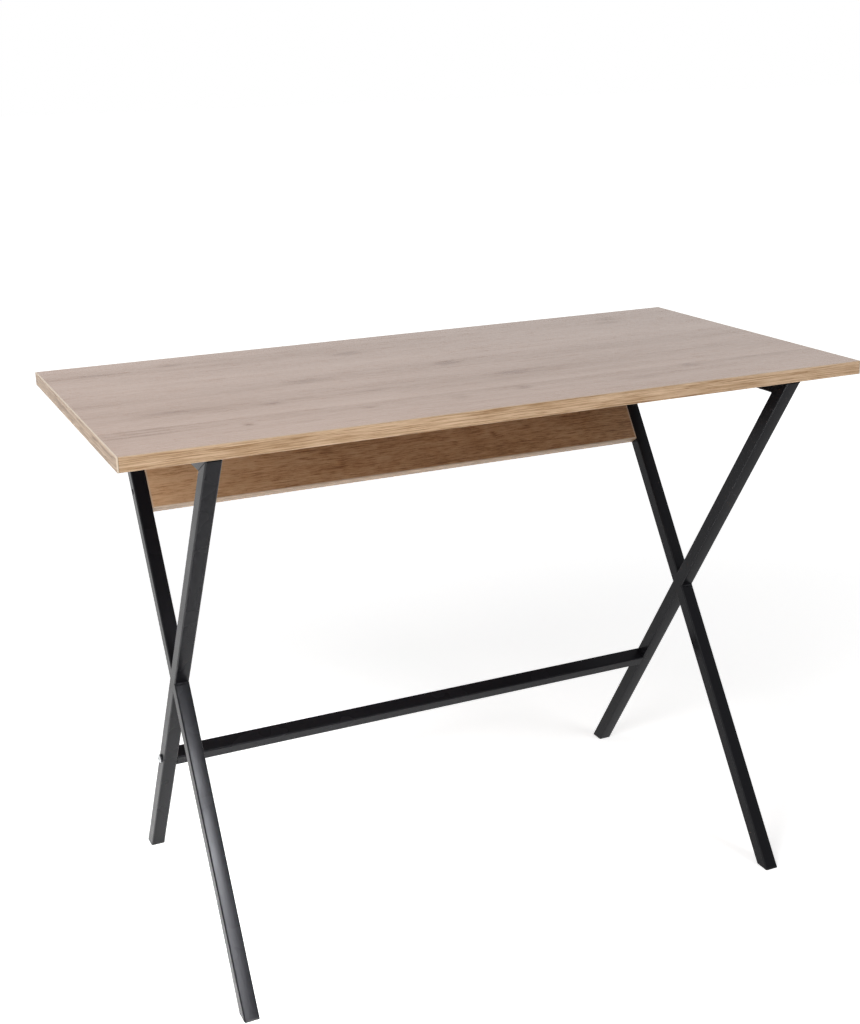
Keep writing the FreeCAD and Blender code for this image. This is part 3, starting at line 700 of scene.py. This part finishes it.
def bead_paths(frame_x):
    """Lines across the tubes where the half legs meet the long leg and where the rail meets the legs."""
    wide = HALF_TUBE / math.cos(LEAN) + BEAD_SINK
    tall = HALF_TUBE / math.sin(LEAN) + 2 * BEAD_SINK
    corner = HALF_FRAME_DEPTH - MITRE_RUN - BEAD_SINK
    places = [
        (-wide, CROSS_HEIGHT), (wide, CROSS_HEIGHT), (0, CROSS_HEIGHT - tall), (0, CROSS_HEIGHT + tall),
        (-corner, RAIL_TOP - TUBE), (corner, RAIL_TOP - TUBE),
    ]
    return [[(frame_x - BEAD_REACH, y, z), (frame_x + BEAD_REACH, y, z)] for y, z in places]


def seam_paths(frame_x):
    """Lines of the mitres on both sides of a frame, and two painted shadow strips across each tip under the board."""
    paths = []
    for end in (-1, 1):
        for side in (-1, 1):
            x = frame_x + side * (HALF_TUBE - SEAM_SINK)
            outer = Vector((x, end * HALF_FRAME_DEPTH, RAIL_TOP))
            inner = Vector((x, end * (HALF_FRAME_DEPTH - MITRE_RUN), RAIL_TOP - TUBE))
            paths.append([outer.lerp(inner, share) for share in SEAM_SHARE])
        # Painted shadow: two dark lines across the leg's front at its top, where the board shades it.
        for drop in PAINTED_SHADOW_DROPS:
            y = end * (HALF_FRAME_DEPTH - drop * math.tan(LEAN))
            paths.append([(frame_x + side * (HALF_TUBE - PAINTED_SHADOW_INSET), y, RAIL_TOP - drop) for side in (-1, 1)])
    return paths


# Shape of a ground weld: steps along it and around the tube's rounding, the length in metres over which it thins
# out at its ends, and where its outer face bends, as shares of its reach and of the rounding.
FILL_STEPS = 24
FILL_ARC = 6
FILL_EASE = 0.0030
FILL_BEND = (0.5, 0.98)


def fill_ring(ease):
    """The outline of a ground weld across the tube, from its outward and depthward edges."""
    flat = HALF_TUBE - TUBE_ROUNDING
    reach = TUBE_ROUNDING * (math.sqrt(0.5) + (1 - math.sqrt(0.5)) * ease)
    ring = []
    for turn in range(FILL_ARC + 1):
        angle = math.radians(90) * turn / FILL_ARC
        ring.append((flat + TUBE_ROUNDING * math.cos(angle), flat + TUBE_ROUNDING * math.sin(angle)))
    ring += [(flat + reach * FILL_BEND[0], flat + TUBE_ROUNDING * FILL_BEND[1]), (flat + reach, flat + reach)]
    return ring


def add_fills(name, frame_x):
    """Weld ground flush on both sides of a crossing, in the corners left by the long leg's rounded edges."""
    low, high = -HALF_TUBE / math.tan(LEAN), HALF_TUBE * math.tan(LEAN)
    made = bmesh.new()
    for half in (-1, 1):
        for side in (-1, 1):
            rings = []
            for step in range(FILL_STEPS + 1):
                along = low + (high - low) * step / FILL_STEPS
                ease = min(1.0, (along - low) / FILL_EASE, (high - along) / FILL_EASE)
                ease = ease * ease * (3 - 2 * ease)
                places = []
                for out, depth in fill_ring(ease):
                    y, z = on_long_leg(half * depth, -half * along)
                    places.append(made.verts.new((frame_x + side * out, y, z)))
                rings.append(places)
            count = len(rings[0])
            for before, after in zip(rings, rings[1:]):
                for spot in range(count):
                    after_spot = (spot + 1) % count
                    made.faces.new((before[spot], before[after_spot], after[after_spot], after[spot]))
            made.faces.new(rings[0])
            made.faces.new(rings[-1])
    bmesh.ops.recalc_face_normals(made, faces=made.faces)
    mesh = bpy.data.meshes.new(name)
    made.to_mesh(mesh)
    made.free()
    mesh.materials.append(FINISHES["coat"])
    piece = bpy.data.objects.new(name, mesh)
    bpy.context.scene.collection.objects.link(piece)
    ride_frame(piece)


FIRST_SEED = 11


def add_welds():
    """The weld beads, ground fills and mitre seams of both frames, with painted shadow strips across the legs' tips."""
    beads, seams = weld_bead_tree(), seam_tree()
    for number, (side, frame_x) in enumerate((("left", -FRAME_X), ("right", FRAME_X))):
        grow(
            side + "_weld_beads", beads, bead_paths(frame_x), ripple_pitch=0.0012, bead_radius=0.0021,
            unevenness=0.25, seed=FIRST_SEED + number, finish=FINISHES["weld"])
        grow(side + "_mitre_seams", seams, seam_paths(frame_x), seam_radius=0.0004, finish=FINISHES["seam"])
        add_fills(side + "_weld_fills", frame_x)


def add_camera():
    """The camera, where the picture was taken from."""
    ahead = Vector((math.sin(CAMERA_YAW), math.cos(CAMERA_YAW), 0))
    level = Vector((math.cos(CAMERA_YAW), -math.sin(CAMERA_YAW), 0))
    forward = math.cos(CAMERA_PITCH) * ahead - math.sin(CAMERA_PITCH) * Vector((0, 0, 1))
    upright = math.cos(CAMERA_PITCH) * Vector((0, 0, 1)) + math.sin(CAMERA_PITCH) * ahead
    right = math.cos(CAMERA_ROLL) * level + math.sin(CAMERA_ROLL) * upright
    up = math.cos(CAMERA_ROLL) * upright - math.sin(CAMERA_ROLL) * level
    data = bpy.data.cameras.new("camera")
    data.sensor_width = SENSOR
    data.lens = FOCAL_LENGTH * SENSOR / PICTURE_HEIGHT
    data.shift_x = (PICTURE_WIDTH / 2 - SIGHT_LINE[0]) / PICTURE_HEIGHT
    data.shift_y = (SIGHT_LINE[1] - PICTURE_HEIGHT / 2) / PICTURE_HEIGHT
    data.clip_end = FARTHEST_SEEN
    camera = bpy.data.objects.new("camera", data)
    place = Matrix((right, up, -forward)).transposed().to_4x4()
    place.translation = CAMERA_PLACE
    camera.matrix_world = place
    bpy.context.scene.collection.objects.link(camera)
    bpy.context.scene.camera = camera


# The studio: how much light the white surroundings give, and the floor, whose lift to white grows with distance.
SKY_LIGHT = 0.20
WHITE = (1, 1, 1, 1)
FLOOR_REACH = 30.0
FLOOR_COLOUR = (0.86, 0.86, 0.86, 1)
LIFT_DISTANCE = (0.8, 3.0)
LIFT_STRENGTH = (0.60, 1.0)


def seen_directly(tree):
    """One where the camera, a reflection or glass shows a surface, and nothing where it only gives light."""
    path = tree.nodes.new("ShaderNodeLightPath").outputs
    seen = math_node(tree, "MAXIMUM", path["Is Camera Ray"], path["Is Glossy Ray"])
    return math_node(tree, "MAXIMUM", seen, path["Is Transmission Ray"])


def add_surroundings():
    """A white studio and a pale floor that keeps the desk's soft shadow."""
    world = bpy.data.worlds.new("studio")
    bpy.context.scene.world = world
    world.use_nodes = True
    tree = world.node_tree
    background = tree.nodes["Background"]
    background.inputs["Color"].default_value = WHITE
    strength = map_range(tree, seen_directly(tree), 0.0, 1.0, SKY_LIGHT, 1.0)
    tree.links.new(strength, background.inputs["Strength"])
    mesh = bpy.data.meshes.new("floor")
    corners = [(FLOOR_REACH * x, FLOOR_REACH * y, 0) for x, y in ((-1, -1), (1, -1), (1, 1), (-1, 1))]
    mesh.from_pydata(corners, [], [(0, 1, 2, 3)])
    floor = bpy.data.objects.new("floor", mesh)
    bpy.context.scene.collection.objects.link(floor)
    material, tree, shader = new_material(
        "pale_floor", Base_Color=FLOOR_COLOUR, Roughness=0.9, Specular_IOR_Level=0.0)
    glow = add_node(tree, "ShaderNodeEmission", {"Color": WHITE})
    place = tree.nodes.new("ShaderNodeTexCoord").outputs["Object"]
    distance = add_node(tree, "ShaderNodeVectorMath", {0: place}, operation="LENGTH").outputs["Value"]
    lift = map_range(tree, distance, *LIFT_DISTANCE, *LIFT_STRENGTH)
    tree.links.new(math_node(tree, "MULTIPLY", seen_directly(tree), lift), glow.inputs["Strength"])
    both = add_node(tree, "ShaderNodeAddShader", {0: shader.outputs[0], 1: glow.outputs[0]})
    tree.links.new(both.outputs[0], tree.nodes["Material Output"].inputs["Surface"])
    mesh.materials.append(material)


def add_lamp(name, place, target, width, height, power, spread=180, mirrored=False):
    """A soft box that faces a point, with its spread in degrees. Glossy faces show it only if it is mirrored."""
    data = bpy.data.lights.new(name, "AREA")
    data.shape = "RECTANGLE"
    data.size = width
    data.size_y = height
    data.energy = power
    data.spread = math.radians(spread)
    lamp = bpy.data.objects.new(name, data)
    lamp.location = place
    lamp.rotation_euler = (Vector(target) - Vector(place)).to_track_quat("-Z", "Y").to_euler()
    lamp.visible_glossy = mirrored
    bpy.context.scene.collection.objects.link(lamp)


def add_lamps():
    """Soft light from the left and the front, a little from behind, and a sheen on the left frame's lower front leg."""
    add_lamp("left_softbox", (-1.98, -1.46, 1.88), (0, 0, 0.6), width=1.22, height=1.66, power=50)
    add_lamp("front_softbox", (1.03, -1.9, 1.78), (0.1, 0, 0.65), width=0.8, height=0.72, power=16.0)
    add_lamp("rear_softbox", (-0.9, 0.5, 1.6), (-0.5, 0.2, 0.74), width=0.6, height=0.6, power=2.7)
    add_lamp(
        "leg_softbox", (-0.20, -2.13, 1.57), (-0.39, -0.25, 0.0), width=0.8, height=0.60, power=2.95,
        spread=20, mirrored=True)


finish_solids()
add_welds()
add_camera()
add_surroundings()
add_lamps()
bpy.context.scene.view_settings.view_transform = "Standard"
